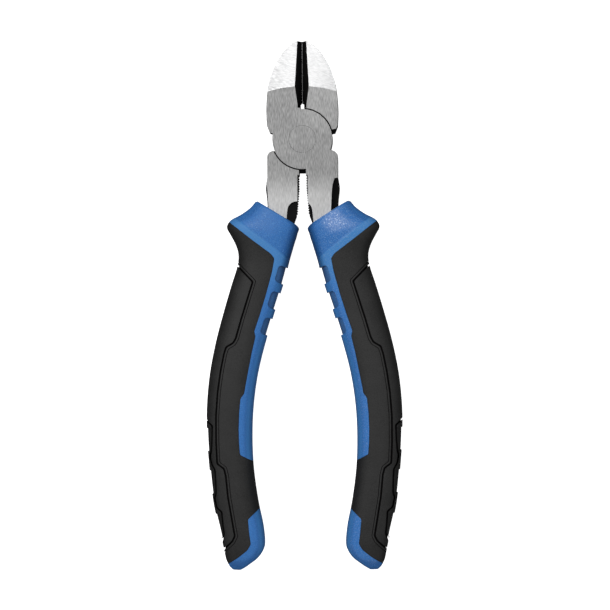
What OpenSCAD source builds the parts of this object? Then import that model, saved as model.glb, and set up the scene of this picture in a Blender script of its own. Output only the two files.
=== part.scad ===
// Diagonal cutting pliers, 180 mm, with two-colour moulded grips.
// Frame: X across the tool, Y along it with the jaws at +Y, Z through its thickness.
// The origin is on the pivot axis, in the plane of the joint's rear flat. Lengths are in millimetres.

/* [Head] */
// Thickness of the joint and of the ground flats
joint_t = 10.5; // [9:0.5:12]
// Radius of each half's lap disc
disc_r = 10.2; // [9.8:0.1:10.4]
// Height of the jaw tips above the pivot axis
tip_y = 33.5; // [32:0.1:34.5]
// Height at which the nose starts to taper, on the centre line
nose_y = 18; // [16:0.5:20]
// Fall of the tapered nose in millimetres per millimetre
nose_slope = 0.14; // [0.1:0.01:0.18]
// Height at which the cutting edges end, above the relief slot
edge_base_y = 12.4; // [12:0.1:13]

/* [Joint] */
// Angle that the jaws open before the shoulders meet, in degrees
open_angle = 32; // [24:1:34]
// Radius of the rivet's shank
rivet_r = 3.2; // [2.8:0.1:3.6]
// Radius of the rivet's flush heads
rivet_head_r = 4.6; // [4.2:0.1:5]
// Gap between a disc and the seat it turns in
seat_gap = 0.4; // [0.3:0.05:0.5]
// Radial running clearance of the rivet in the front half
running_gap = 0.05; // [0.03:0.01:0.08]

/* [Tangs] */
// Step from the ground flats down to the black forged surface
forged_step = 0.8; // [0.5:0.1:1]
// Pitch of the gripping teeth between the tangs
tooth_pitch = 0.85; // [0.7:0.05:1]
// Depth of the gripping teeth
tooth_depth = 0.45; // [0.3:0.05:0.5]
// Thickness of the tang inside its grip
buried_t = 6; // [5:0.5:7]

/* [Grips] */
// Thickness of the black shell over the blue core
shell_t = 2.6; // [2.2:0.1:3]
// Thickness of the palm and heel pads
pad_t = 0.9; // [0.7:0.1:1.2]
// Width of the groove round each pad
groove_w = 0.6; // [0.4:0.1:0.8]
// Depth of the finger pockets in the blue strip
pocket_depth = 0.7; // [0.4:0.1:0.9]
// Depth of the windows in the heel pad
window_depth = 0.5; // [0.3:0.1:0.6]
// Squareness of the grip's section: 2 is an ellipse
section_power = 3.1; // [2.6:0.1:3.6]

/* [Hidden] */
$fn = 96;
mid_z = joint_t / 2;            // plane between the two halves
lap_gap = 0.1;                  // clearance between the two lap discs
edge_gap = 0.01;                // from each cutting edge to the centre line
past = 1;                       // how far a cutting tool runs past the solid
nose_cone_y = -21;              // the nose is part of a cone about this point
nose_cone_r = nose_y - nose_cone_y;
bevel_tip_w = 1.5;              // width of a cutting bevel at the tip, on the nose
bevel_max_w = 2.4;              // its width where the nose starts
bevel_base_w = 1.5;             // its width at the relief slot
bevel_base_y = 10.6;
relief_w = 1.3;                 // slot between the blades, above the joint
head_w = 24.4;                  // across both jaws
jaw_shoulder = 11.5;             // angle of the jaw's shoulder above the X axis
stop_slack = 0.6;               // degrees left between the shoulders at full opening
tang_shoulder = open_angle + stop_slack - jaw_shoulder;
tang_gap = 2.4;                 // between the tangs below the joint
web_t = 2.4;                    // closing stop between the tangs, beside the lap plane
countersink_h = rivet_head_r - rivet_r;
teeth_top_y = -12.4;
teeth_x = tang_gap / 2 + tooth_depth + 0.1; // inner edge of the ground flat, outside the teeth
teeth = 16;
ring_points = 24;
ring_steps = 2;                 // rings between two stations of the grip

// ---- curves ----
function mix(a, b, t) = a + (b - a) * t;
function at(list, i) = list[min(max(i, 0), len(list) - 1)];
// A point of the smooth curve through four neighbours, between the middle two
function between(a, b, c, d, t) =
    0.5 * (2 * b + (c - a) * t + (2 * a - 5 * b + 4 * c - d) * t * t + (3 * b - a - 3 * c + d) * t * t * t);
// The smooth curve through a list of points or rows, with n steps between two of them
function smooth(list, n) = concat(
    [for (i = [0:len(list) - 2]) for (k = [0:n - 1])
        between(at(list, i - 1), list[i], list[i + 1], at(list, i + 2), k / n)],
    [list[len(list) - 1]]);
function polar(r, a) = [r * cos(a), r * sin(a)];
// Half of a superellipse's width at an angle
function bulge(c) = sign(c) * pow(abs(c), 2 / section_power);

// ---- steel halves ----
// Outer edge of a jaw from the tip down to its shoulder, on the +X side
jaw_edge = [
    [2.4, tip_y], [5.6, tip_y - 2.8], [8.5, tip_y - 7], [10.4, tip_y - 11.4],
    [11.6, tip_y - 16], [head_w / 2, tip_y - 23], [head_w / 2 - 0.2, 4.6]
];
// Outer edge of a tang from its shoulder into the grip
tang_edge = [
    [12, -13], [12.5, -16.6], [12.1, -20.6], [12, -24], [12.4, -29], [13.9, -35], [16.9, -43],
    [21, -54], [24.5, -66], [27, -79], [28.2, -92], [28.3, -105], [27.4, -114]
];
// Inner edge of a tang from the last tooth to its end
tang_inner = [
    [2.3, -26.2], [3.2, -28.6], [4.6, -32], [6.6, -37], [9.5, -44.5],
    [13.4, -55], [16.9, -67], [19.4, -80], [20.6, -93], [20.9, -105], [20.8, -114]
];
flat_shift = 1;                 // how far the ground flat of a tang lies off its middle, to -X on both tangs
// The ground flat on a tang: its outer and inner borders, rounded where the black forging shows
land_outer = [[11.9, -13.4], [11.25, -15.4], [10.95, -17.6], [10.8, -20.4], [10.6, -25]];
land_inner = [[4.8, -31], [4.5, -27], [4.2, -24], [3.7, -22.6], [2.8, -21.7], [1.9, -21.3]];

module jaw_outline() {
    polygon(concat(
        [[edge_gap, tip_y]],
        smooth(jaw_edge, 4),
        [[11.5, 3.3], polar(11.3, jaw_shoulder), polar(8.5, jaw_shoulder)],
        [[relief_w / 2, 8], [relief_w / 2, edge_base_y - 0.4], [edge_gap, edge_base_y]]
    ));
}

function tooth_row() = [
    for (i = [0:teeth - 1]) let (
        y = teeth_top_y - i * tooth_pitch,
        x = tang_gap / 2 + max(0, -17 - y) * 0.08
    ) each [[x, y], [x + tooth_depth, y - tooth_pitch / 2]]
];

module tang_outline() {
    polygon(concat(
        [[tang_gap / 2, -8], polar(8.5, -tang_shoulder), polar(11.9, -tang_shoulder)],
        [[11.85, -5.1], [12, -6]],
        smooth(tang_edge, 4),
        [[26.6, -116.4], [24.2, -117.4], [21.8, -116.5]],
        [for (i = [len(tang_inner) - 1:-1:0]) tang_inner[i]],
        [for (i = [2 * teeth - 1:-1:0]) tooth_row()[i]]
    ));
}

// Where the flat lies on a tang, moved across it by a shift
module land_outline(shift) {
    moved = [for (p = concat(smooth(land_outer, 3), smooth(land_inner, 3))) p + [shift, 0]];
    polygon(concat(
        [[-0.5, 0], [14, 0], [14, -12], [12.6, -13]],
        moved,
        [[teeth_x, moved[len(moved) - 1][1] + 0.2], [teeth_x, -12.2], [-0.5, -12.2]]
    ));
}

// The solid that the tapered nose is cut to: two cones, base to base
module nose_envelope() {
    wide_r = nose_cone_r + mid_z / nose_slope;
    translate([0, nose_cone_y, mid_z]) {
        cylinder(r1 = wide_r, r2 = nose_cone_r, h = mid_z);
        mirror([0, 0, 1]) cylinder(r1 = wide_r, r2 = nose_cone_r, h = mid_z);
    }
}

// What a cutting bevel takes from the front of the -X jaw
module bevel_tool() {
    rise = mid_z + past;                    // above the lap plane
    slope_at_tip = bevel_tip_w / (mid_z - (tip_y - nose_y) * nose_slope);
    widths = [slope_at_tip * rise, bevel_max_w / mid_z * rise, bevel_base_w / mid_z * rise];
    reach = [tip_y + past, nose_y, bevel_base_y];
    translate([-edge_gap, 0, mid_z])
        polyhedron(
            points = [for (i = [0:2]) each [
                [0, reach[i], 0], [-widths[i], reach[i], rise], [past, reach[i], rise], [past, reach[i], 0]
            ]],
            faces = concat(
                [[3, 2, 1, 0], [8, 9, 10, 11]],
                [for (s = [0, 4]) for (k = [0:3]) [s + k, s + (k + 1) % 4, s + 4 + (k + 1) % 4]],
                [for (s = [0, 4]) for (k = [0:3]) [s + k, s + 4 + (k + 1) % 4, s + 4 + k]]
            ));
}

// One forging: jaw on the -X side, lap disc at the front, tang on the +X side
module forging(bore_gap, shift) {
    difference() {
        union() {
            intersection() {
                linear_extrude(joint_t) mirror([1, 0]) jaw_outline();
                nose_envelope();
            }
            translate([0, 0, mid_z + lap_gap / 2]) cylinder(r = disc_r, h = mid_z - lap_gap / 2);
            linear_extrude(joint_t) intersection() {
                tang_outline();
                land_outline(shift);
            }
            translate([0, 0, forged_step]) linear_extrude(joint_t - 2 * forged_step) intersection() {
                tang_outline();
                translate([0, -36]) square([20, 36]);
            }
            translate([0, 0, mid_z - buried_t / 2]) linear_extrude(buried_t) intersection() {
                tang_outline();
                translate([0, -120]) square([40, 90]);
            }
            translate([-tang_gap / 2 + 0.1, -11.4, mid_z + lap_gap / 2]) cube([tang_gap, 3, web_t]);
        }
        translate([0, 0, -past]) cylinder(r = disc_r + seat_gap, h = past + mid_z + lap_gap / 2);
        // the shoulder of the jaw is chamfered on the seat side
        rotate([0, 0, 180 - jaw_shoulder]) translate([8, 0, 0]) rotate([40, 0, 0])
            translate([0, -4, -0.7]) cube([8, 8, 1.4]);
        bevel_tool();
        translate([0, 0, joint_t]) mirror([0, 0, 1]) bevel_tool();
        rivet_solid(bore_gap, past);
    }
}

// The rivet, grown by a gap and run past both faces when it is used as a cutting tool
module rivet_solid(gap, over) {
    translate([0, 0, -over]) cylinder(r = rivet_r + gap, h = joint_t + 2 * over);
    translate([0, 0, joint_t - countersink_h])
        cylinder(r1 = rivet_r + gap, r2 = rivet_head_r + gap, h = countersink_h);
    mirror([0, 0, 1]) translate([0, 0, -countersink_h])
        cylinder(r1 = rivet_r + gap, r2 = rivet_head_r + gap, h = countersink_h);
}

// Turns a front part into its rear twin
module turned() {
    translate([0, 0, joint_t]) rotate([0, 180, 0]) children();
}

module front_half() {
    color("silver") forging(running_gap, -flat_shift);
}

module rear_half() {
    color("silver") turned() forging(0, flat_shift);
}

module pivot_rivet() {
    color("gray") rivet_solid(0, 0);
}

// ---- grips ----
// Each station is a section across the +X grip: inner edge x and y, outer edge x and y, half depth
stations = [
    [2.5, -29.4, 16.1, -21.1, 8.8], [1.6, -30.6, 18.4, -22.9, 9.3], [2, -32, 21.6, -24.9, 9.8],
    [2.4, -33.4, 24.4, -26.6, 10.1], [2.8, -34.6, 25.7, -28.5, 10.2], [3.2, -35.8, 26, -30.1, 10.1],
    [3.6, -37.2, 24.9, -32.2, 9.9], [4.2, -39.2, 23.2, -35.4, 9.5], [4.9, -41.6, 22.2, -38.8, 9.2],
    [5.6, -44.4, 22.5, -42.8, 9], [7.2, -50, 24.6, -49.4, 8.8], [9.9, -58.4, 27.3, -58.4, 8.7],
    [13, -68.4, 30, -68.4, 8.8], [15.8, -79.4, 32.2, -79.4, 9], [17.4, -90.4, 33.3, -90.8, 9.1],
    [17.9, -101, 33.3, -101.4, 9.1], [17.5, -112, 32.5, -112.6, 9], [16, -123.2, 31.2, -124, 8.8],
    [14.4, -131, 29.4, -132.2, 8.5], [13.8, -137, 28.1, -138.2, 8.1], [14.4, -139.9, 27.5, -141.1, 7.4],
    [16.2, -142.5, 27.1, -142.9, 6.5], [18.6, -144.4, 26.5, -144.3, 5.2], [20.6, -145.8, 25.8, -145.5, 3.8],
    [22, -146.6, 24.8, -146.5, 2]
];
rings = smooth(stations, ring_steps);
core_first = 2;                          // rings that the inner sleeve runs between
core_last = len(rings) - 11;

// Border of the blue that shows at the collar and along the inner edge
strip_border = [
    [32, -22.6], [17, -34], [11.4, -38.3], [9.9, -39.9], [9.6, -41.8], [10.8, -45.9], [14.6, -58.8],
    [16.6, -65], [16, -66.8], [17.5, -72.4], [18.7, -78.5], [19.8, -85.4], [21.2, -87.6], [21.7, -95.5],
    [21.6, -101], [21.3, -106.9], [12, -112.3]
];
// Border of the blue heel
end_border = [
    [11, -120.4], [19, -128.5], [18.4, -133.6], [17.9, -136.4], [18.8, -138.7], [21.2, -140.6], [24, -142.5],
    [31, -146.4]
];
// Border of the palm pad, from the guard to the heel
palm_border = [
    [26, -38.6], [19.7, -44.9], [17.3, -47.9], [17.9, -51.4], [21.9, -64], [23.2, -68], [26.1, -70],
    [27.1, -74],
    [28.4, -81.6], [29.2, -89], [29.5, -98.6], [29.2, -108], [28.8, -110.2], [26.9, -111.4], [26.4, -113],
    [25.8, -119], [24.6, -126.4], [23.4, -133.6], [23.6, -135], [31, -142.2]
];
// Border of the heel pad, with a lobe between each pair of windows
heel_border = [
    [37, -92.4], [30.9, -96.9], [31.3, -105.2], [32.3, -106.9], [31.7, -109.6], [30, -111.5], [29.9, -119],
    [30.9, -121.4], [30.2, -124.1], [28, -125.6], [27.4, -133.8], [32, -141]
];
// Finger pockets in the blue strip, as the corner points of their outer ends
pockets = [
    [[3, -43.6], [7.2, -42.2], [8.9, -47.6], [8.2, -48.6], [4, -50]],
    [[5, -53], [9.9, -51.2], [11.8, -56.4], [11.1, -57.4], [6, -59.4]],
    [[8, -62], [12.4, -60.2], [14.4, -65.2], [13.8, -66.2], [9, -68.2]]
];
// Windows in the heel pad: top and bottom of each
windows = [[-97.6, -105.6], [-112.2, -120], [-127, -135.4]];

// Corner k of ring i, with the section taken in by t
function ring_point(i, k, t) = let (
    row = rings[i],
    inner = [row[0], row[1]],
    outer = [row[2], row[3]],
    chord = outer - inner,
    half = norm(chord) / 2,
    centre = (inner + outer) / 2,
    a = 360 * (k + 0.5) / ring_points,
    p = centre + chord / norm(chord) * max(half - t, 0.2) * bulge(cos(a))
) [p[0], p[1], mid_z + max(row[4] - t, 0.2) * bulge(sin(a))];

// The grip's solid between two rings, taken in by t all round
module loft(t, first, last) {
    n = ring_points;
    for (i = [first:last - 1]) hull() polyhedron(
        points = [for (j = [i, i + 1]) for (k = [0:n - 1]) ring_point(j, k, t)],
        faces = concat(
            [[for (k = [0:n - 1]) k], [for (k = [n - 1:-1:0]) n + k]],
            [for (k = [0:n - 1]) [k, n + k, n + (k + 1) % n, (k + 1) % n]]
        ));
}

module grip_solid() {
    loft(0, 0, len(rings) - 1);
}

module inside_skin(t) {
    loft(t, 0, len(rings) - 2);
}

module through(z0 = -20, z1 = 30) {
    translate([0, 0, z0]) linear_extrude(z1 - z0) children();
}

module blue_zone() {
    through() polygon(concat([[-6, -112.3], [-6, -10], [32, -10]], strip_border));
    through() polygon(concat([[11, -150]], end_border, [[31, -150]]));
}

module palm_zone(grow) {
    through() offset(delta = grow) polygon(concat([[45, -38.6]], palm_border, [[45, -142.2]]));
}

module heel_zone(grow) {
    through() offset(delta = grow) polygon(concat([[45, -92.4]], heel_border, [[45, -141]]));
}

// Room for the tang, its flat moved by a shift, with more clearance at each level than at the one before
module tang_cavity(shift) {
    gap = 0.05;
    translate([0, 0, -gap]) linear_extrude(joint_t + 2 * gap) offset(delta = gap) intersection() {
        tang_outline();
        land_outline(shift);
    }
    translate([0, 0, forged_step - gap]) linear_extrude(joint_t - 2 * forged_step + 2 * gap)
        offset(delta = 2 * gap) intersection() {
            tang_outline();
            translate([0, -36]) square([20, 20]);
        }
    translate([0, 0, mid_z - buried_t / 2 - gap]) linear_extrude(buried_t + 2 * gap) offset(delta = 3 * gap)
        intersection() {
            tang_outline();
            translate([0, -120]) square([40, 90]);
        }
}

module core_solid() {
    intersection() {
        grip_solid();
        blue_zone();
    }
    loft(shell_t, core_first, core_last);
}

module grip_core(shift) {
    color("royalblue") difference() {
        core_solid();
        tang_cavity(shift);
        difference() {
            for (p = pockets) through() polygon(p);
            inside_skin(pocket_depth);
        }
    }
}

module grip_body(shift) {
    color("dimgray") difference() {
        grip_solid();
        blue_zone();
        loft(shell_t, core_first, core_last);
        difference() {
            palm_zone(groove_w / 2);
            inside_skin(pad_t);
        }
        tang_cavity(shift);
    }
}

module palm_pad() {
    color("dimgray") difference() {
        intersection() {
            grip_solid();
            palm_zone(-groove_w / 2);
        }
        inside_skin(pad_t);
        heel_zone(groove_w / 2);
    }
}

module heel_pad() {
    color("dimgray") difference() {
        intersection() {
            grip_solid();
            heel_zone(-groove_w / 2);
            palm_zone(-groove_w / 2);
        }
        inside_skin(pad_t);
        difference() {
            for (w = windows) translate([20, w[1], -20]) cube([20, w[0] - w[1], 50]);
            inside_skin(window_depth);
        }
    }
}

module left() {
    mirror([1, 0, 0]) children();
}

front_half();
rear_half();
pivot_rivet();
grip_core(-flat_shift);  // right_grip_core
grip_body(-flat_shift);  // right_grip_body
palm_pad();  // right_palm_pad
heel_pad();  // right_heel_pad
left() grip_core(flat_shift);  // left_grip_core
left() grip_body(flat_shift);  // left_grip_body
left() palm_pad();  // left_palm_pad
left() heel_pad();  // left_heel_pad
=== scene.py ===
import math

import bmesh
import bpy
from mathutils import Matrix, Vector


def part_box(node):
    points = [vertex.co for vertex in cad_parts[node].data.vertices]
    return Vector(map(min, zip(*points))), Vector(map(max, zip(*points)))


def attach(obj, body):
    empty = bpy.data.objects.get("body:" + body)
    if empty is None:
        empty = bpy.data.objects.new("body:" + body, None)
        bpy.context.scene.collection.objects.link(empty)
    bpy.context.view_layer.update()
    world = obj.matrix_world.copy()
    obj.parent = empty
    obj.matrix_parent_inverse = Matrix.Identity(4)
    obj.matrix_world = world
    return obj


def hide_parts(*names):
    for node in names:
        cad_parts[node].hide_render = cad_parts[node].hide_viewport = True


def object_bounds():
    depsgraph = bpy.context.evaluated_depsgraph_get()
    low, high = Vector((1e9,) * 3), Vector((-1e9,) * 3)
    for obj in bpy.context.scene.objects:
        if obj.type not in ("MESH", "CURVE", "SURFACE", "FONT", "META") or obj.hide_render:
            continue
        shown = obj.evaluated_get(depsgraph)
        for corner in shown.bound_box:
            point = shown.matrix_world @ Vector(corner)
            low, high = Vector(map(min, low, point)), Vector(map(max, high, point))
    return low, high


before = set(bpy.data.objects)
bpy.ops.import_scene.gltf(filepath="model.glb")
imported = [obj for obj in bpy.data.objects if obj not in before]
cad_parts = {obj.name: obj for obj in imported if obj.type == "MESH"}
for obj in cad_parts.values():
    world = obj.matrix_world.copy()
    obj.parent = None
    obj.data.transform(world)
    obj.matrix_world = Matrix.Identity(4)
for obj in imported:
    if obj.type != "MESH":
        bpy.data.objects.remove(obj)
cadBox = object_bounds()
mm = 0.001
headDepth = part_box("front_half")[1].z / mm
midZ = headDepth / 2
print("frame loaded")


# the camera looks down on the tool as it lies flat, a little from the right and slightly rolled;
# millimetres and degrees
view = {"aim": (0.55, -56.6), "height": 1000, "frameWidth": 207.2, "farEnd": 20000, "sensor": 36,
        "fromRight": 1.8, "roll": -0.4}
lens = bpy.data.cameras.new("camera")
lens.sensor_width = view["sensor"]
lens.lens = view["sensor"] * view["height"] / view["frameWidth"]
lens.clip_end = view["farEnd"] * mm
eye = bpy.data.objects.new("camera", lens)
lean = math.radians(view["fromRight"])
eye.location = ((view["aim"][0] + view["height"] * math.sin(lean)) * mm, view["aim"][1] * mm,
                (headDepth + view["height"] * math.cos(lean)) * mm)
eye.rotation_euler = (0, lean, math.radians(view["roll"]))
bpy.context.collection.objects.link(eye)
bpy.context.scene.camera = eye
bpy.context.scene.view_settings.view_transform = "Standard"


class Wire:
    # one socket of a node tree; arithmetic on wires adds their Math nodes
    def __init__(self, tree, socket=None):
        self.tree = tree
        self.socket = socket

    def add(self, kind, settings=None, inputs=None, output=0):
        node = self.tree.nodes.new(kind)
        for name, value in (settings or {}).items():
            if name == "stops":
                while len(node.color_ramp.elements) < len(value):
                    node.color_ramp.elements.new(1.0)
                for stop, (position, tone) in zip(node.color_ramp.elements, value):
                    stop.position = position
                    stop.color = (tone, tone, tone, 1)
            else:
                setattr(node, name, value)
        for name, value in (inputs or {}).items():
            socket = node.inputs[name]
            if isinstance(value, Wire):
                self.tree.links.new(value.socket, socket)
            elif socket.type == "RGBA":
                socket.default_value = (*value, 1)
            else:
                socket.default_value = value
        return Wire(self.tree, node.outputs[output]) if output is not None else None

    def maths(self, operation, first, second=0.0):
        return self.add("ShaderNodeMath", {"operation": operation}, {0: first, 1: second})

    def __add__(self, other):
        return self.maths("ADD", self, other)

    def __radd__(self, other):
        return self.maths("ADD", other, self)

    def __sub__(self, other):
        return self.maths("SUBTRACT", self, other)

    def __rsub__(self, other):
        return self.maths("SUBTRACT", other, self)

    def __mul__(self, other):
        return self.maths("MULTIPLY", self, other)

    def __rmul__(self, other):
        return self.maths("MULTIPLY", other, self)

    def __abs__(self):
        return self.maths("ABSOLUTE", self)

    def mixTo(self, first, second):
        return self.add("ShaderNodeMix", {"data_type": "RGBA"}, {0: self, 6: first, 7: second}, 2)

    def axis(self, letter):
        return self.add("ShaderNodeSeparateXYZ", {}, {"Vector": self}, letter)

    # goes from 0 at the first value to 1 at the second
    def between(self, low, high):
        return self.add("ShaderNodeMapRange", {"interpolation_type": "SMOOTHSTEP"},
                        {"Value": self, "From Min": low, "From Max": high})

    # the same between two places on an axis, in millimetres
    def past(self, letter, low, high):
        return self.axis(letter).between(low * mm, high * mm)

    # noise with a grain of this length along each axis, in millimetres
    def grain(self, sizes, turn=0.0, detail=2.0, sharp=0.5):
        sizes = sizes if isinstance(sizes, tuple) else (sizes, sizes, sizes)
        scale = tuple(1 / (size * mm) for size in sizes)
        placed = self.add("ShaderNodeMapping", {"vector_type": "TEXTURE"},
                          {"Vector": self, "Rotation": (0, 0, math.radians(turn))})
        shrunk = self.add("ShaderNodeVectorMath", {"operation": "MULTIPLY"}, {0: placed, 1: scale})
        return self.add("ShaderNodeTexNoise", {},
                        {"Vector": shrunk, "Scale": 1.0, "Detail": detail, "Roughness": sharp})


def newMaterial(name):
    material = bpy.data.materials.new(name)
    material.use_nodes = True
    material.node_tree.nodes.clear()
    start = Wire(material.node_tree)
    place = start.add("ShaderNodeTexCoord", output="Object")
    return material, start, place


def finishMaterial(start, inputs):
    shader = start.add("ShaderNodeBsdfPrincipled", {}, inputs)
    start.add("ShaderNodeOutputMaterial", {}, {"Surface": shader}, None)


# a relief of some depth and strength, on edges that are worn round
def rounded(start, height, relief, radius):
    distance, strength = relief
    corner = start.add("ShaderNodeBevel", {"samples": 6}, {"Radius": radius * mm})
    return start.add("ShaderNodeBump", {}, {"Height": height, "Distance": distance * mm,
                                            "Strength": strength, "Normal": corner})


# in each finish, sizes and places are in millimetres, and the last rows say how far
# each pattern moves the shade from its start, where 0 is the dark colour and 1 the light one
groundSteel = {"dark": (0.165, 0.165, 0.165), "light": (0.575, 0.575, 0.572),
               "roughness": 0.40, "uneven": 0.25, "relief": (0.02, 0.5), "edge": 0.08, "rivetEdge": 0.03,
               "scratches": (0.18, 1.8, 1.8), "fine": (0.16, 1.2, 1.2), "clouds": (5, 7, 7),
               "tangs": (-10, -22), "jaws": (-2, 8), "leftToRight": (-6, 6),
               "start": 0.27, "tangsPaintedLight": 0.57, "cloudy": 0.20, "scratchy": 0.95, "rightJawPaintedLight": 0.14}


def groundSteelFinish(name, edge):
    look = groundSteel
    material, start, place = newMaterial(name)
    scratch = place.grain(look["scratches"], detail=1.0)
    fine = place.grain(look["fine"], detail=1.0)
    cloud = place.grain(look["clouds"])
    # painted light: the right jaw is paler and the left jaw darker
    rightJaw = place.past("Y", *look["jaws"]) * (place.past("X", *look["leftToRight"]) - 0.5)
    # painted light: the tangs grow paler towards the collars, while the clouds and scratches are the steel's
    # own
    shade = (place.past("Y", *look["tangs"]) * look["tangsPaintedLight"] + (cloud - 0.5) * look["cloudy"]
             + (scratch - 0.5) * look["scratchy"] + rightJaw * look["rightJawPaintedLight"] + look["start"])
    finishMaterial(start, {"Base Color": shade.mixTo(look["dark"], look["light"]),
                           "Roughness": look["roughness"] + (fine - 0.5) * look["uneven"],
                           "Normal": rounded(start, scratch * 0.6 + fine * 0.4, look["relief"], edge),
                           "Metallic": 1.0})
    return material


polishedNose = {"dark": (0.17, 0.17, 0.172), "light": (0.49, 0.49, 0.492),
                "roughness": 0.45, "uneven": 0.2, "relief": (0.015, 0.5), "edge": 0.08,
                "streaks": (1.7, 0.22, 1), "streakTurn": -18, "fine": (1.2, 0.16, 1), "fineTurn": -24,
                "rightJaw": (-2, 3), "rightRim": (3, 12), "leftRim": (-4, -11),
                "start": 1.0, "rightStreaky": 1.1, "rightPaintedShade": 0.068, "rightRimDarker": 0.10,
                "leftStreaky": 1.2, "leftPaintedShade": 0.27, "leftRimDarker": 0.18}


def polishedNoseFinish():
    look = polishedNose
    material, start, place = newMaterial("polishedNose")
    streak = place.grain(look["streaks"], look["streakTurn"])
    fine = place.grain(look["fine"], look["fineTurn"], detail=1.0)
    rightJaw = place.past("X", *look["rightJaw"])
    # the streaks are the steel's own; painted shade darkens the left nose much more than the right, and both
    # grow darker towards the outer rims
    rightStreaksAndPaintedShade = rightJaw * ((streak - 0.5) * look["rightStreaky"] + look["rightPaintedShade"])
    leftStreaksAndPaintedShade = (1.0 - rightJaw) * ((streak - 0.5) * look["leftStreaky"] + look["leftPaintedShade"])
    shade = (look["start"] - rightStreaksAndPaintedShade - place.past("X", *look["rightRim"]) * look["rightRimDarker"]
             - leftStreaksAndPaintedShade - place.past("X", *look["leftRim"]) * look["leftRimDarker"])
    finishMaterial(start, {"Base Color": shade.mixTo(look["dark"], look["light"]),
                           "Roughness": look["roughness"] + (fine - 0.5) * look["uneven"],
                           "Normal": rounded(start, streak * 0.5 + fine * 0.5, look["relief"], look["edge"]),
                           "Metallic": 1.0})
    return material


blackSteel = {"dark": (0.0015, 0.0015, 0.0015), "light": (0.006, 0.006, 0.0063),
              "roughness": 0.5, "uneven": 0.3, "gloss": 0.08, "relief": (0.08, 0.5), "edge": 0.15,
              "scale": 0.5, "patches": 3, "patchy": 0.7, "scaly": 0.3}


def blackSteelFinish():
    look = blackSteel
    material, start, place = newMaterial("blackSteel")
    scale = place.grain(look["scale"], detail=4.0, sharp=0.6)
    patch = place.grain(look["patches"])
    shade = patch * look["patchy"] + scale * look["scaly"]
    finishMaterial(start, {"Base Color": shade.mixTo(look["dark"], look["light"]),
                           "Roughness": look["roughness"] + (scale - 0.5) * look["uneven"],
                           "Normal": rounded(start, scale, look["relief"], look["edge"]),
                           "Specular IOR Level": look["gloss"]})
    return material


edgeSteel = {"dark": (0.010, 0.010, 0.010), "light": (0.028, 0.028, 0.028),
             "roughness": 0.32, "uneven": 0.3, "metal": 0.5, "gloss": 0.3,
             "relief": (0.02, 0.4), "edge": 0.04, "streaks": (1.6, 0.2, 0.2), "streakTurn": 8}


def edgeSteelFinish():
    look = edgeSteel
    material, start, place = newMaterial("edgeSteel")
    streak = place.grain(look["streaks"], look["streakTurn"])
    finishMaterial(start, {"Base Color": streak.mixTo(look["dark"], look["light"]),
                           "Roughness": look["roughness"] + (streak - 0.5) * look["uneven"],
                           "Normal": rounded(start, streak, look["relief"], look["edge"]),
                           "Metallic": look["metal"], "Specular IOR Level": look["gloss"]})
    return material


# the crease lies where the surface slopes, and 1 is level ground; painted shade darkens it
# the inner side faces the other handle, and -1 is straight towards it; painted shade darkens it on the
# collar, and painted light pales it below
bluePlastic = {"dark": (0.019, 0.136, 0.440), "light": (0.042, 0.222, 0.630), "paintedShadeBlue": (0.012, 0.05, 0.14),
               "paintedLightBlue": (0.075, 0.290, 0.640), "hollow": (0.050, 0.085, 0.180),
               "roughness": 0.50, "uneven": 0.25, "gloss": 0.5, "relief": (0.09, 0.7), "edge": 0.25,
               "polished": (-4, 12), "polish": 0.14,
               "coat": (0.2, 0.8), "coatRoughness": 0.30, "coatIor": 1.8,
               "pebbles": 0.34, "clouds": 9, "specks": 0.36, "speckLevel": (0.50, 0.72),
               "collar": (-70, -34), "upper": (-52, -42),
               "creaseStart": (0.55, 0.70), "creaseEnd": (0.72, 0.90),
               "paintedInnerShade": (-0.60, -0.90), "innerRim": (-0.50, -0.90),
               "bandStart": (10.7, -39), "bandTurn": 37.8, "bandWidth": 2.3, "bandEdge": 0.4, "bandRise": 0.3,
               "start": -0.18, "cloudy": 0.4, "pebbly": 2.4, "speckled": 0.35, "bandPaintedLight": 0.6,
               "collarPaintedLight": 0.45, "creasePaintedShade": 0.5,
               "bandToPaintedLight": 0.5, "specksToPaintedGlint": 0.5, "rimToPaintedLight": 0.45, "innerSideToPaintedShade": 0.6,
               "pebblesToPocketShade": 0.5, "startToPocketShade": 0.20}


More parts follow.
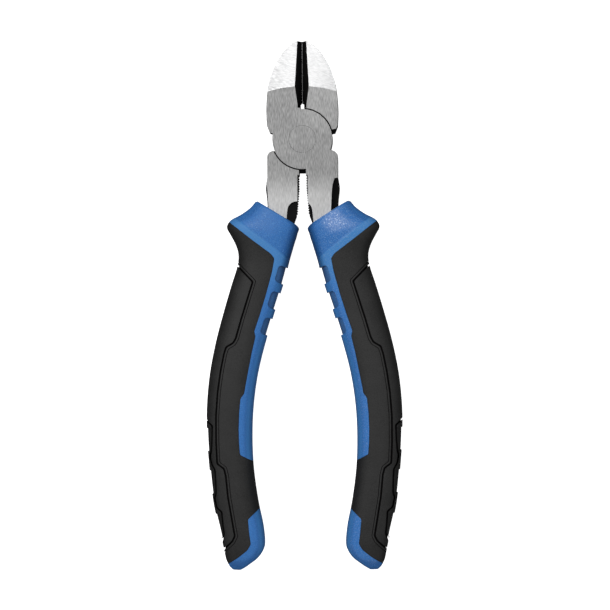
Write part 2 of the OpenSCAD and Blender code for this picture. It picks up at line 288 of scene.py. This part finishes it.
def bluePlasticFinish(name, paintedPocketShade=False):
    look = bluePlastic
    material, start, place = newMaterial(name)
    pebble = place.grain(look["pebbles"], detail=3.0, sharp=0.6)
    cloud = place.grain(look["clouds"])
    speck = place.grain(look["specks"], detail=1.0).between(*look["speckLevel"])
    # a raised band follows the edge of the black, across the collar on both handles; its rise is a bump, and
    # its paler colour is painted light
    turn = math.radians(look["bandTurn"])
    fromX, fromY = look["bandStart"]
    forwards = (place.axis("Y") - fromY * mm) * math.cos(turn)
    sideways = (abs(place.axis("X")) - fromX * mm) * math.sin(turn)
    low, high = look["bandWidth"] - look["bandEdge"], look["bandWidth"] + look["bandEdge"]
    band = 1.0 - (forwards - sideways).between(low * mm, high * mm)
    collar = place.past("Y", *look["collar"])
    upper = place.past("Y", *look["upper"])
    facing = start.add("ShaderNodeTexCoord", output="Normal")
    flat = abs(facing.axis("Z"))
    outwards = facing.axis("X") * start.maths("SIGN", place.axis("X"))
    # painted shade: the crease between the face and the side is darker
    crease = flat.between(*look["creaseStart"]) * (1.0 - flat.between(*look["creaseEnd"]))
    # painted light: the blue grows paler towards the collar
    shade = (cloud * look["cloudy"] + (pebble - 0.5) * look["pebbly"] + speck * look["speckled"]
             + band * look["bandPaintedLight"] + collar * look["collarPaintedLight"]
             - crease * look["creasePaintedShade"] + look["start"])
    colour = shade.mixTo(look["dark"], look["light"])
    # painted light: below the collar, the sides facing the other handle get a pale rim
    rim = outwards.between(*look["innerRim"]) * (1.0 - upper)
    # painted light and painted glints: the band, the specks on the collar and that rim are mixed towards a
    # paler blue
    paintedLight = (band * upper * look["bandToPaintedLight"] + speck * collar * look["specksToPaintedGlint"]
             + rim * look["rimToPaintedLight"])
    colour = paintedLight.mixTo(colour, look["paintedLightBlue"])
    # painted shade: on the collar, the sides facing the other handle are mixed towards a dark blue
    paintedInnerShade = outwards.between(*look["paintedInnerShade"]) * upper * look["innerSideToPaintedShade"]
    colour = paintedInnerShade.mixTo(colour, look["paintedShadeBlue"])
    # painted shade: the finger pockets are mixed towards a greyer dark blue
    if paintedPocketShade:
        colour = (pebble * look["pebblesToPocketShade"] + look["startToPocketShade"]).mixTo(colour, look["hollow"])
    polish = place.past("X", *look["polished"])
    grained = rounded(start, pebble + speck * 0.8, look["relief"], look["edge"])
    raised = start.add("ShaderNodeBump", {}, {"Height": band, "Distance": look["bandRise"] * mm,
                                              "Strength": 1.0, "Normal": grained})
    everywhere, onPolish = look["coat"]
    rough = look["roughness"] + (pebble - 0.5) * look["uneven"] - polish * look["polish"]
    finishMaterial(start, {"Base Color": colour, "Roughness": rough, "Normal": raised,
                           "Coat Weight": speck * (polish * onPolish + everywhere),
                           "Specular IOR Level": look["gloss"],
                           "Coat Roughness": look["coatRoughness"], "Coat IOR": look["coatIor"]})
    return material


blackRubber = {"dark": (0.006, 0.006, 0.006), "light": (0.0235, 0.0235, 0.0235),
               "roughness": 0.55, "uneven": 0.3, "gloss": 0.4, "relief": (0.07, 0.5), "edge": 0.15,
               "pebbles": 0.34, "clouds": 7, "steep": (0.97, 0.75),
               "start": 0.18, "cloudy": 0.8, "pebbly": 3.0, "steepPaintedShade": 0.30}


def blackRubberFinish():
    look = blackRubber
    material, start, place = newMaterial("blackRubber")
    pebble = place.grain(look["pebbles"], detail=3.0, sharp=0.6)
    cloud = place.grain(look["clouds"])
    steep = abs(start.add("ShaderNodeTexCoord", output="Normal").axis("Z")).between(*look["steep"])
    # painted shade: steep sides are darker than level faces
    shade = (cloud * look["cloudy"] + (pebble - 0.5) * look["pebbly"] - steep * look["steepPaintedShade"]
             + look["start"])
    finishMaterial(start, {"Base Color": shade.mixTo(look["dark"], look["light"]),
                           "Roughness": look["roughness"] + (pebble - 0.5) * look["uneven"],
                           "Normal": rounded(start, pebble, look["relief"], look["edge"]),
                           "Specular IOR Level": look["gloss"]})
    return material


# the grooves are matt, and their dark colour is painted shade, a little lighter over the middle of the handle
groovePaintedShade = {"dark": (0.0008, 0.0008, 0.0008), "light": (0.003, 0.003, 0.003),
                "roughness": 0.8, "uneven": 0.2, "gloss": 0.1, "relief": (0.05, 0.5), "edge": 0.08,
                "pebbles": 0.34, "middleStart": (-68, -78), "middleEnd": (-114, -106), "middleLessShade": 2.0}


def groovePaintedShadeFinish():
    look = groovePaintedShade
    material, start, place = newMaterial("groovePaintedShade")
    pebble = place.grain(look["pebbles"], detail=3.0, sharp=0.6)
    middle = place.past("Y", *look["middleStart"]) * place.past("Y", *look["middleEnd"])
    # painted shade: the grooves are nearly black, a little lighter over the middle
    shade = pebble + middle * look["middleLessShade"]
    finishMaterial(start, {"Base Color": shade.mixTo(look["dark"], look["light"]),
                           "Roughness": look["roughness"] + (pebble - 0.5) * look["uneven"],
                           "Normal": rounded(start, pebble, look["relief"], look["edge"]),
                           "Specular IOR Level": look["gloss"]})
    return material


finishes = {
    "ground": groundSteelFinish("groundSteel", groundSteel["edge"]),
    "rivet": groundSteelFinish("rivetSteel", groundSteel["rivetEdge"]),
    "nose": polishedNoseFinish(),
    "black": blackSteelFinish(),
    "edge": edgeSteelFinish(),
    "blue": bluePlasticFinish("bluePlastic"),
    # painted shade for the finger pockets
    "pocket": bluePlasticFinish("pocketPlasticPaintedShade", paintedPocketShade=True),
    "rubber": blackRubberFinish(),
    # painted shade for the grooves
    "groove": groovePaintedShadeFinish(),
}
print("materials made")


def newPiece(name, form, body, stands, materials, sharpAngle=32):
    mesh = bpy.data.meshes.new(name)
    form.to_mesh(mesh)
    form.free()
    piece = bpy.data.objects.new(name, mesh)
    bpy.context.collection.objects.link(piece)
    for material in materials:
        mesh.materials.append(finishes[material])
    mesh.shade_smooth()
    mesh.set_sharp_from_angle(angle=math.radians(sharpAngle))
    keepMaterialEdges(mesh)
    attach(piece, body)
    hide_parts(stands)


# two finishes meet in a crisp line
def keepMaterialEdges(mesh):
    form = bmesh.new()
    form.from_mesh(mesh)
    for edge in form.edges:
        if len({face.material_index for face in edge.link_faces}) > 1:
            edge.smooth = False
    form.to_mesh(mesh)
    form.free()


# a face's level is 1 where it lies flat and 0 where it stands; the cutting edges are slopes near the middle
steelForm = {"finishes": ["ground", "nose", "black", "edge", "rivet"],
             "weld": 0.002, "planarAngle": 0.5, "sharpAngle": 25,
             "flatLevel": 0.999, "flatTolerance": 0.03, "noseLevel": 0.9, "noseStart": 14.5,
             "edgeLevel": (0.1, 0.97), "edgeStart": 9.5, "edgeReach": 3.5}


def steelFinish(node, spot, level):
    low, high = steelForm["edgeLevel"]
    if level > steelForm["flatLevel"] and abs(abs(spot.z - midZ) - midZ) < steelForm["flatTolerance"]:
        return "rivet" if node == "pivot_rivet" else "ground"
    if level > steelForm["noseLevel"] and spot.y > steelForm["noseStart"]:
        return "nose"
    if abs(spot.x) < steelForm["edgeReach"] and spot.y > steelForm["edgeStart"] and low < level < high:
        return "edge"
    return "black"


def steelPiece(name, node, body):
    form = bmesh.new()
    form.from_mesh(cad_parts[node].data)
    bmesh.ops.remove_doubles(form, verts=form.verts, dist=steelForm["weld"] * mm)
    bmesh.ops.dissolve_limit(form, angle_limit=math.radians(steelForm["planarAngle"]),
                             verts=form.verts, edges=form.edges)
    form.normal_update()
    for face in form.faces:
        finish = steelFinish(node, face.calc_center_median() / mm, abs(face.normal.z))
        face.material_index = steelForm["finishes"].index(finish)
    newPiece(name, form, body, node, steelForm["finishes"], steelForm["sharpAngle"])


steelPiece("frontHalf", "front_half", "front_body")
steelPiece("rearHalf", "rear_half", "rear_body")
steelPiece("pivotRivet", "pivot_rivet", "rear_body")
print("steel made")

# each row is a section across the right grip: inner edge x and y, outer edge x and y, half depth
gripForm = {
    "sections": [
        (2.4, -29, 15.9, -20.65, 8.8), (1.5, -30.3, 18, -23.1, 9.3), (2, -31.9, 21.2, -25.4, 9.8),
        (2.4, -33.4, 24.3, -27, 10.1), (2.8, -34.6, 25.7, -28.5, 10.2), (3.2, -35.8, 26, -30.1, 10.1),
        (3.6, -37.2, 24.9, -32.2, 9.9), (4.2, -39.2, 23.2, -35.4, 9.5), (4.9, -41.6, 22.2, -38.8, 9.2),
        (5.6, -44.4, 22.5, -42.8, 9), (7.2, -50, 24.6, -49.4, 8.8), (9.9, -58.4, 27.3, -58.4, 8.7),
        (13, -68.4, 30, -68.4, 8.8), (15.8, -79.4, 32.2, -79.4, 9), (17.4, -90.4, 33.3, -90.8, 9.1),
        (17.9, -101, 33.3, -101.4, 9.1), (17.5, -112, 32.5, -112.6, 9), (16, -123.2, 31.2, -124, 8.8),
        (14.4, -131, 29.4, -132.2, 8.5), (13.8, -137, 28.1, -138.2, 8.1), (14.4, -139.9, 27.5, -141.1, 7.4),
        (16.2, -142.5, 27.1, -142.9, 6.5), (18.6, -144.4, 26.5, -144.3, 5.2),
        (20.6, -145.8, 25.8, -145.5, 3.8), (22, -146.6, 24.8, -146.5, 2),
    ],
    "squareness": 3.1, "points": 72, "steps": 4,
    "lip": 0.5, "lipStep": 0.4, "thinnest": 0.3,  # the front edge is rounded by the lip
    "shell": 2.6, "play": 0.05, "coreSleeve": (2, 20), "bodySleeve": (1, 21),  # first and last rows
    "pad": 0.6, "groove": 0.62, "seam": 0.06, "pocket": 0.7, "window": 0.4,
    "line": 0.2, "lineAway": 0.95, "lineDepth": 0.25,  # the thin line outside the palm's groove
    "corner": 0.45, "blockEnds": (-12, 24),
}


# a smooth curve through all the rows, with steps between each pair
def curveThrough(rows, steps):
    rows = [Vector(row) for row in rows]
    result = []
    for number in range(len(rows) - 1):
        before, here, there = rows[max(number - 1, 0)], rows[number], rows[number + 1]
        beyond = rows[min(number + 2, len(rows) - 1)]
        bend = 2 * before - 5 * here + 4 * there - beyond
        twist = 3 * here - before - 3 * there + beyond
        for step in range(steps):
            part = step / steps
            result.append(0.5 * (2 * here + (there - before) * part + bend * part * part + twist * part ** 3))
    return result + [rows[-1]]


# a point of a circle moves out to a round-cornered square
def squared(distance):
    return math.copysign(abs(distance) ** (2 / gripForm["squareness"]), distance)


# the grip's solid, taken in all round, between two of its sections
def gripSolid(name, inset, first=0, last=None):
    rows = curveThrough(gripForm["sections"], gripForm["steps"])
    first *= gripForm["steps"]
    last = len(rows) if last is None else last * gripForm["steps"]
    form = bmesh.new()
    rings = []
    for number, row in list(enumerate(rows))[first:last]:
        inner, outer = Vector((row[0], row[1], midZ)), Vector((row[2], row[3], midZ))
        lip = max(0.0, gripForm["lip"] - gripForm["lipStep"] * number)
        taken = inset + gripForm["lip"] - math.sqrt(max(gripForm["lip"] ** 2 - lip ** 2, 0))
        half = max((outer - inner).length / 2 - taken, gripForm["thinnest"])
        depth = max(row[4] - taken, gripForm["thinnest"])
        points = bmesh.ops.create_circle(form, segments=gripForm["points"], radius=1)["verts"]
        for point in points:
            across = (outer - inner).normalized() * half * squared(point.co.x)
            point.co = ((inner + outer) / 2 + across + Vector((0, 0, depth * squared(point.co.y)))) * mm
        rings.append(list(dict.fromkeys(edge for point in points for edge in point.link_edges)))
    for ring, following in zip(rings, rings[1:]):
        bmesh.ops.bridge_loops(form, edges=ring + following)
    bmesh.ops.contextual_create(form, geom=rings[0])
    bmesh.ops.contextual_create(form, geom=rings[-1])
    bmesh.ops.recalc_face_normals(form, faces=form.faces)
    return looseObject(name, form)


# an unfinished mesh with two empty slots, so that what a cut leaves can take the second finish, which paints
# shade into pockets and grooves
def looseObject(name, form):
    mesh = bpy.data.meshes.new(name)
    form.to_mesh(mesh)
    form.free()
    for _ in range(2):
        mesh.materials.append(None)
    thing = bpy.data.objects.new(name, mesh)
    bpy.context.collection.objects.link(thing)
    return thing


# an upright block with a given outline, its sides moved out or in and its corners rounded
def block(outline, grow=0.0):
    low, high = gripForm["blockEnds"]
    form = bmesh.new()
    plate = [form.faces.new([form.verts.new((x * mm, y * mm, low * mm)) for x, y in outline])]
    if grow:
        form.normal_update()
        rim = bmesh.ops.inset_individual(form, faces=plate, thickness=-grow * mm, use_even_offset=True)
        bmesh.ops.delete(form, geom=rim["faces"], context="FACES")
    bmesh.ops.bevel(form, geom=list(form.verts), offset=gripForm["corner"] * mm, offset_type="OFFSET",
                    affect="VERTICES", segments=4, profile=0.5, material=-1, clamp_overlap=True)
    lifted = bmesh.ops.extrude_face_region(form, geom=list(form.faces))["geom"]
    risen = [part for part in lifted if isinstance(part, bmesh.types.BMVert)]
    bmesh.ops.translate(form, verts=risen, vec=(0, 0, (high - low) * mm))
    bmesh.ops.recalc_face_normals(form, faces=form.faces)
    return looseObject("block", form)


# all faces of a cutting tool take the second finish, so that painted shade fills what it cuts
def paintShade(tool):
    for face in tool.data.polygons:
        face.material_index = 1
    return tool


# the other object is used up, and the piece is what is left or joined
def combine(piece, other, operation):
    joining = piece.modifiers.new("join", "BOOLEAN")
    joining.operation = operation
    joining.solver = "EXACT"
    joining.object = other
    bpy.context.view_layer.update()
    shaped = bpy.data.meshes.new_from_object(piece.evaluated_get(bpy.context.evaluated_depsgraph_get()))
    piece.modifiers.clear()
    piece.data = shaped
    bpy.data.objects.remove(other)
    return piece


# outlines on the right handle in millimetres, which may run past the grip;
# each window is a shallow hollow across one lobe of the heel pad, from its top to its bottom
borders = {
    "strip": [(-8, -112.3), (-8, -8), (34, -8), (34, -20.9), (17.5, -33.9), (10.7, -39), (9.6, -40.6),
              (10.4, -45), (12.6, -53), (14.8, -60), (16.6, -65.2), (16.2, -67), (17.5, -72.4),
              (18.7, -78.5), (19.6, -83), (20.2, -86.4), (21.4, -87.9), (21.9, -93), (22.1, -98.5),
              (22, -103), (21.7, -107), (17.4, -109.4), (8, -114.6)],
    "heelEnd": [(6, -116.3), (15.5, -125.5), (19.2, -129), (18.8, -133.6), (18.3, -137.4), (19.5, -139.5),
                (22.6, -142), (26, -144.2), (34, -148.6), (34, -156), (6, -156)],
    "palm": [(48, -28), (28.8, -37.2), (22.2, -43), (17, -48.4), (18.6, -53.4), (21, -61), (22.9, -67.6),
             (23.8, -69.1), (26.2, -70.5), (27, -73), (28.2, -79), (29.2, -86), (29.8, -94), (29.8, -103),
             (29.5, -110), (27.2, -111.7), (26.6, -114), (25.9, -121.4), (24.8, -128), (23.7, -134.6),
             (24.6, -136.4), (32, -143.4), (48, -143.4)],
    "heelPad": [(48, -88), (36.6, -92.6), (31.1, -97.2), (31.3, -102.6), (31.6, -106), (32, -107.4),
                (31.55, -110), (30.3, -112.2), (30.1, -116.3), (30, -120), (30.55, -121.8), (29.85, -125),
                (28.1, -126.4), (27.8, -130.6), (27.4, -134), (29, -138), (33, -142), (48, -142)],
    "pockets": [[(2, -45.4), (7.5, -42.9), (8.3, -43.5), (9.5, -47.6), (9, -48.5), (3, -51.2)],
                [(4, -54), (9.9, -51.6), (10.8, -52.2), (12.1, -56.2), (11.6, -57.2), (5, -60)],
                [(6, -63), (12.3, -60.5), (13.2, -61.1), (14.6, -65.2), (14.1, -66.1), (8, -69)]],
    "windows": [(-98, -106), (-112.4, -120.6), (-127.2, -135.6)],
    "windowReach": (24, 44),
}


def gripCore():
    core = combine(gripSolid("gripCore", 0), block(borders["strip"]), "INTERSECT")
    heel = combine(gripSolid("heelPart", 0), block(borders["heelEnd"]), "INTERSECT")
    for corners in borders["pockets"]:
        tool = combine(block(corners), gripSolid("skin", gripForm["pocket"]), "DIFFERENCE")
        combine(core, paintShade(tool), "DIFFERENCE")
    combine(core, gripSolid("sleeve", gripForm["shell"], *gripForm["coreSleeve"]), "UNION")
    return combine(core, heel, "UNION")


def gripBody():
    body = gripSolid("gripBody", 0)
    combine(body, block(borders["strip"], gripForm["seam"]), "DIFFERENCE")
    combine(body, block(borders["heelEnd"], gripForm["seam"]), "DIFFERENCE")
    far = block(borders["palm"], gripForm["lineAway"] + gripForm["line"] / 2)
    near = block(borders["palm"], gripForm["lineAway"] - gripForm["line"] / 2)
    line = combine(combine(far, near, "DIFFERENCE"), gripSolid("skin", gripForm["lineDepth"]), "DIFFERENCE")
    combine(body, paintShade(line), "DIFFERENCE")
    bed = block(borders["palm"], gripForm["groove"] / 2)
    combine(bed, gripSolid("skin", gripForm["pad"]), "DIFFERENCE")
    combine(body, paintShade(bed), "DIFFERENCE")
    sleeve = gripSolid("sleeve", gripForm["shell"] - gripForm["play"], *gripForm["bodySleeve"])
    return combine(body, sleeve, "DIFFERENCE")


def palmPad():
    pad = combine(gripSolid("palmPad", 0), block(borders["palm"], -gripForm["groove"] / 2), "INTERSECT")
    combine(pad, gripSolid("skin", gripForm["pad"]), "DIFFERENCE")
    return combine(pad, paintShade(block(borders["heelPad"], gripForm["groove"] / 2)), "DIFFERENCE")


def heelPad():
    pad = combine(gripSolid("heelPad", 0), block(borders["heelPad"], -gripForm["groove"] / 2), "INTERSECT")
    combine(pad, block(borders["palm"], -gripForm["groove"] / 2), "INTERSECT")
    combine(pad, gripSolid("skin", gripForm["pad"]), "DIFFERENCE")
    near, far = borders["windowReach"]
    for top, bottom in borders["windows"]:
        corners = [(near, top), (near, bottom), (far, bottom), (far, top)]
        tool = combine(block(corners), gripSolid("skin", gripForm["window"]), "DIFFERENCE")
        combine(pad, tool, "DIFFERENCE")
    return pad


# the same shape on both handles; the left one is mirrored and its faces turned
def bothSides(shape, name, nodeEnd, finish):
    for side, body in (("right", "front_body"), ("left", "rear_body")):
        form = bmesh.new()
        form.from_mesh(shape.data)
        if side == "left":
            bmesh.ops.scale(form, vec=(-1, 1, 1), verts=form.verts)
            bmesh.ops.reverse_faces(form, faces=form.faces)
        newPiece(side + name, form, body, side + "_" + nodeEnd, finish)
    bpy.data.objects.remove(shape)
    print(name, "made")


bothSides(gripCore(), "GripCore", "grip_core", ["blue", "pocket"])
bothSides(gripBody(), "GripBody", "grip_body", ["rubber", "groove"])
bothSides(palmPad(), "PalmPad", "palm_pad", ["rubber", "groove"])
bothSides(heelPad(), "HeelPad", "heel_pad", ["rubber"])


# metres; the sky's tones go from straight below, 0, to straight above, 1
studio = {"floorSize": 6, "floorDrop": 0.0002, "floorGlow": 1.0,
          "sky": [(0.0, 0.05), (0.42, 0.10), (0.52, 0.45), (0.66, 0.62), (0.86, 0.45), (0.99, 0.27)],
          "keyPower": 7, "keySize": 0.40, "keyPlace": (-0.24, 0.48, 1.21), "keyAim": (0, -0.05, 0)}
form = bmesh.new()
bmesh.ops.create_grid(form, x_segments=1, y_segments=1, size=studio["floorSize"] / 2)
floor = looseObject("floor", form)
floor.location.z = cadBox[0][2] - studio["floorDrop"]
material, start, _ = newMaterial("floor")
finishMaterial(start, {"Base Color": (0.9, 0.9, 0.9), "Roughness": 0.8,
                       "Emission Color": (1.0, 1.0, 1.0), "Emission Strength": studio["floorGlow"]})
floor.data.materials.clear()
floor.data.materials.append(material)
# the white floor is only a backdrop: it throws no light on the tool
floor.visible_diffuse = False
floor.visible_glossy = False

world = bpy.data.worlds.new("studio")
world.use_nodes = True
world.node_tree.nodes.clear()
sky = Wire(world.node_tree)
upward = sky.add("ShaderNodeTexCoord", output="Generated").axis("Z")
glow = sky.add("ShaderNodeValToRGB", {"stops": studio["sky"]}, {0: upward * 0.5 + 0.5})
backdrop = sky.add("ShaderNodeBackground", {}, {"Color": glow, "Strength": 1.0})
sky.add("ShaderNodeOutputWorld", {}, {"Surface": backdrop}, None)
bpy.context.scene.world = world

lamp = bpy.data.lights.new("key", "AREA")
lamp.size = studio["keySize"]
lamp.energy = studio["keyPower"]
key = bpy.data.objects.new("key", lamp)
key.location = studio["keyPlace"]
key.rotation_euler = (Vector(studio["keyAim"]) - key.location).to_track_quat("-Z", "Y").to_euler()
bpy.context.collection.objects.link(key)
print("studio made")
